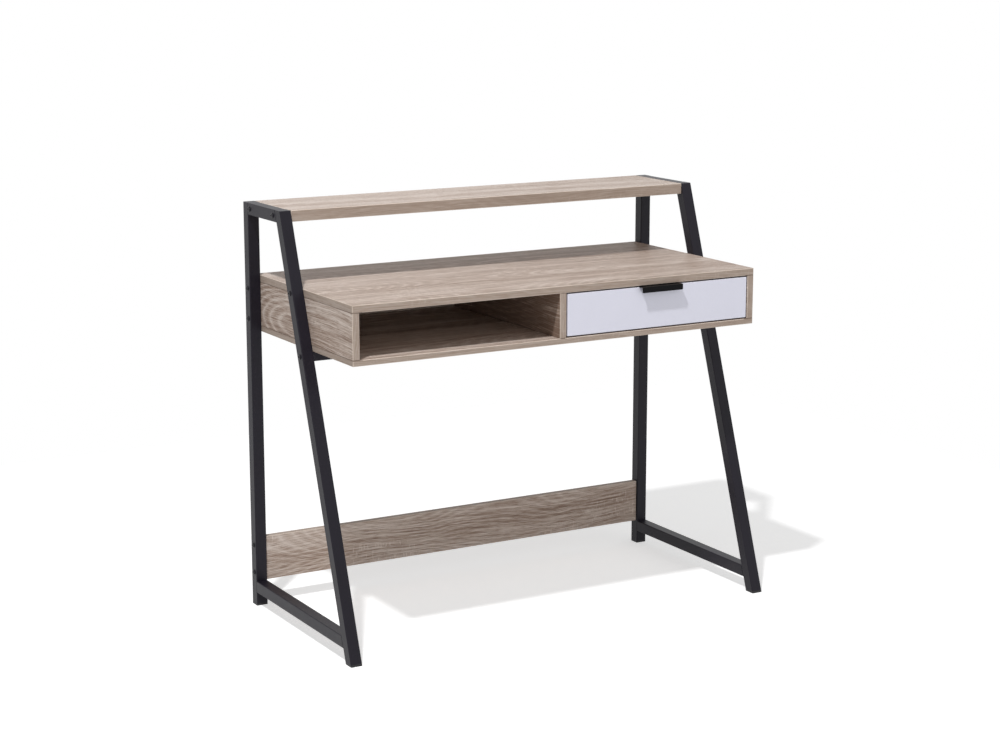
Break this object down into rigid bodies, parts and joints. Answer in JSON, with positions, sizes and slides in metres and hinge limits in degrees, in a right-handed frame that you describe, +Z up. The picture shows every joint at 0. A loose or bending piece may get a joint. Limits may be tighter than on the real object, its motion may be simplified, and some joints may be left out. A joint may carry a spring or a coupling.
{
  "type": "office desk",
  "caption": "Compact desk: slanted black steel tube frames carry an oak-decor box with an open bay and a white drawer, below a raised shelf.",
  "frame": {"origin": "on the floor, at the middle of the footprint", "axes": "+Z up, +X to the sitter's right, -Y towards the sitter, where the drawer opens"},
  "size_m": [1.0066, 0.485, 0.87],
  "materials": {
    "black_steel": "matt black powder coat, fine orange peel",
    "oak_decor": "light grey-brown oak decor on board, satin",
    "white_lacquer": "smooth white lacquered board, satin",
    "drawer_board": "pale grey melamine on board",
    "hardboard": "thin hardboard with a pale grey face",
    "white_runner": "white epoxy coat on pressed steel",
    "zinc_steel": "bright zinc plate",
    "black_bolt": "black oxide, satin",
    "roller_nylon": "moulded white nylon",
    "black_plastic": "moulded black polythene",
    "beech": "turned and fluted beech"
  },
  "bodies": {
    "desk": {"left_rear_leg": "black_steel", "left_front_leg": "black_steel", "left_top_rail": "black_steel", "left_bottom_rail": "black_steel", "right_rear_leg": "black_steel", "right_front_leg": "black_steel", "right_top_rail": "black_steel", "right_bottom_rail": "black_steel", "cross_tube": "black_steel", "left_rear_foot": "black_plastic", "left_front_foot": "black_plastic", "right_rear_foot": "black_plastic", "right_front_foot": "black_plastic", "cross_tube_plugs": "black_plastic", "top_shelf": "oak_decor", "desktop_panel": "oak_decor", "box_bottom_panel": "oak_decor", "left_side_panel": "oak_decor", "divider_panel": "oak_decor", "right_side_panel": "oak_decor", "back_panel": "oak_decor", "stretcher_board": "oak_decor", "cam_locks": "zinc_steel", "cam_bolts": "zinc_steel", "shelf_sleeves": "zinc_steel", "desk_sleeves": "zinc_steel", "stretcher_sleeves": "zinc_steel", "cabinet_roller_axles": "zinc_steel", "cabinet_runner_screws": "zinc_steel", "dowels": "beech", "shelf_bolts": "black_bolt", "desk_bolts": "black_bolt", "stretcher_bolts": "black_bolt", "cross_tube_bolts": "black_bolt", "left_cabinet_runner": "white_runner", "right_cabinet_runner": "white_runner"},
    "drawer": {"drawer_front": "white_lacquer", "drawer_back": "drawer_board", "drawer_left_side": "drawer_board", "drawer_right_side": "drawer_board", "drawer_bottom": "hardboard", "drawer_pull": "black_steel", "left_drawer_runner": "white_runner", "right_drawer_runner": "white_runner", "drawer_cam_locks": "zinc_steel", "drawer_cam_bolts": "zinc_steel", "drawer_back_screws": "zinc_steel", "drawer_runner_screws": "zinc_steel", "pull_screws": "zinc_steel", "drawer_roller_axles": "zinc_steel"},
    "left_cabinet_roller": {"left_cabinet_roller": "roller_nylon"},
    "right_cabinet_roller": {"right_cabinet_roller": "roller_nylon"},
    "left_drawer_roller": {"left_drawer_roller": "roller_nylon"},
    "right_drawer_roller": {"right_drawer_roller": "roller_nylon"}
  },
  "joints": [
    {"name": "drawer_slide", "type": "slide", "parent": "desk", "child": "drawer", "axis": [0, -1, 0], "range_m": [0, 0.26]},
    {"name": "left_cabinet_roller_turn", "type": "hinge", "parent": "desk", "child": "left_cabinet_roller", "pos_m": [0.0132, -0.1855, 0.6255], "axis": [1, 0, 0], "continuous": true},
    {"name": "right_cabinet_roller_turn", "type": "hinge", "parent": "desk", "child": "right_cabinet_roller", "pos_m": [0.4543, -0.1855, 0.6255], "axis": [1, 0, 0], "continuous": true},
    {"name": "left_drawer_roller_turn", "type": "hinge", "parent": "drawer", "child": "left_drawer_roller", "pos_m": [0.0132, 0.135, 0.6255], "axis": [1, 0, 0], "continuous": true},
    {"name": "right_drawer_roller_turn", "type": "hinge", "parent": "drawer", "child": "right_drawer_roller", "pos_m": [0.4543, 0.135, 0.6255], "axis": [1, 0, 0], "continuous": true}
  ],
  "couplings": [
    {"joint": "left_cabinet_roller_turn", "follows": "drawer_slide", "rad_per_m": 111.11},
    {"joint": "right_cabinet_roller_turn", "follows": "drawer_slide", "rad_per_m": 111.11},
    {"joint": "left_drawer_roller_turn", "follows": "drawer_slide", "rad_per_m": 111.11},
    {"joint": "right_drawer_roller_turn", "follows": "drawer_slide", "rad_per_m": 111.11}
  ]
}
